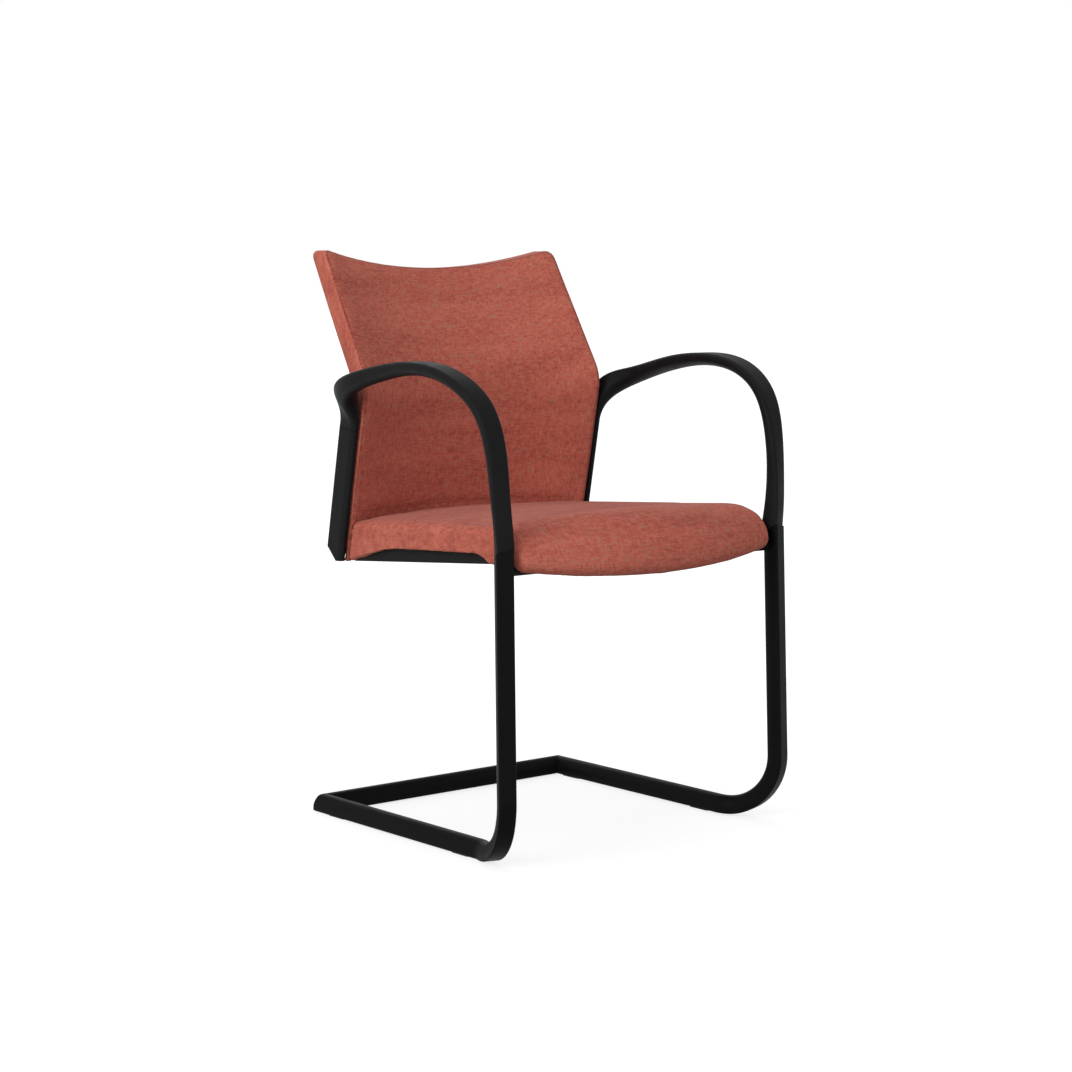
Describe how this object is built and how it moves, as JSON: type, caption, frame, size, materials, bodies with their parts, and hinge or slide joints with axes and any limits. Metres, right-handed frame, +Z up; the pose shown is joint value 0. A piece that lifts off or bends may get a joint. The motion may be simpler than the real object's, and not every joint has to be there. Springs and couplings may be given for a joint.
{
  "type": "cantilever chair",
  "caption": "Cantilever armchair: black D-tube sled frame without rear legs, moulded black arm loops, upholstered seat and a sprung upholstered back that tips rearward.",
  "frame": {"origin": "on the floor under the middle of the chair's bounding box", "axes": "+Z up, the sitter faces -Y, +X to the sitter's left hand; names say left and right as seen from the front"},
  "size_m": [0.6046, 0.5802, 0.8611],
  "materials": {
    "black_tube": "satin powder coat",
    "moulded_black": "fine grained moulding",
    "seat_fabric": "plain woven wool blend",
    "board": "bare plywood",
    "steel": "zinc plated",
    "bush": "natural nylon"
  },
  "bodies": {
    "frame": {"floor_glides": "moulded_black", "left_arm": "moulded_black", "left_leg_spigot": "steel", "left_pivot_bracket": "steel", "left_sled_tube": "black_tube", "pivot_pins": "steel", "rear_cross_tube": "black_tube", "right_arm": "moulded_black", "right_leg_spigot": "steel", "right_pivot_bracket": "steel", "right_sled_tube": "black_tube", "saddle_screws": "steel", "seat_board": "board", "seat_cross_tube": "black_tube", "seat_cushion": "seat_fabric", "seat_pan": "moulded_black", "seat_saddles": "moulded_black", "seat_screws": "steel", "spigot_pins": "steel"},
    "back": {"left_back_rail": "moulded_black", "right_back_rail": "moulded_black", "pivot_bushes": "bush", "back_shell": "moulded_black", "back_cushion": "seat_fabric", "back_rear_panel": "seat_fabric", "back_screws": "steel"}
  },
  "joints": [
    {"name": "back_recline", "type": "hinge", "parent": "frame", "child": "back", "pos_m": [0, 0.1856, 0.4145], "axis": [-1, 0, 0], "range_deg": [0, 6], "stiffness_Nm_per_rad": 300, "springref_deg": -1.72}
  ]
}
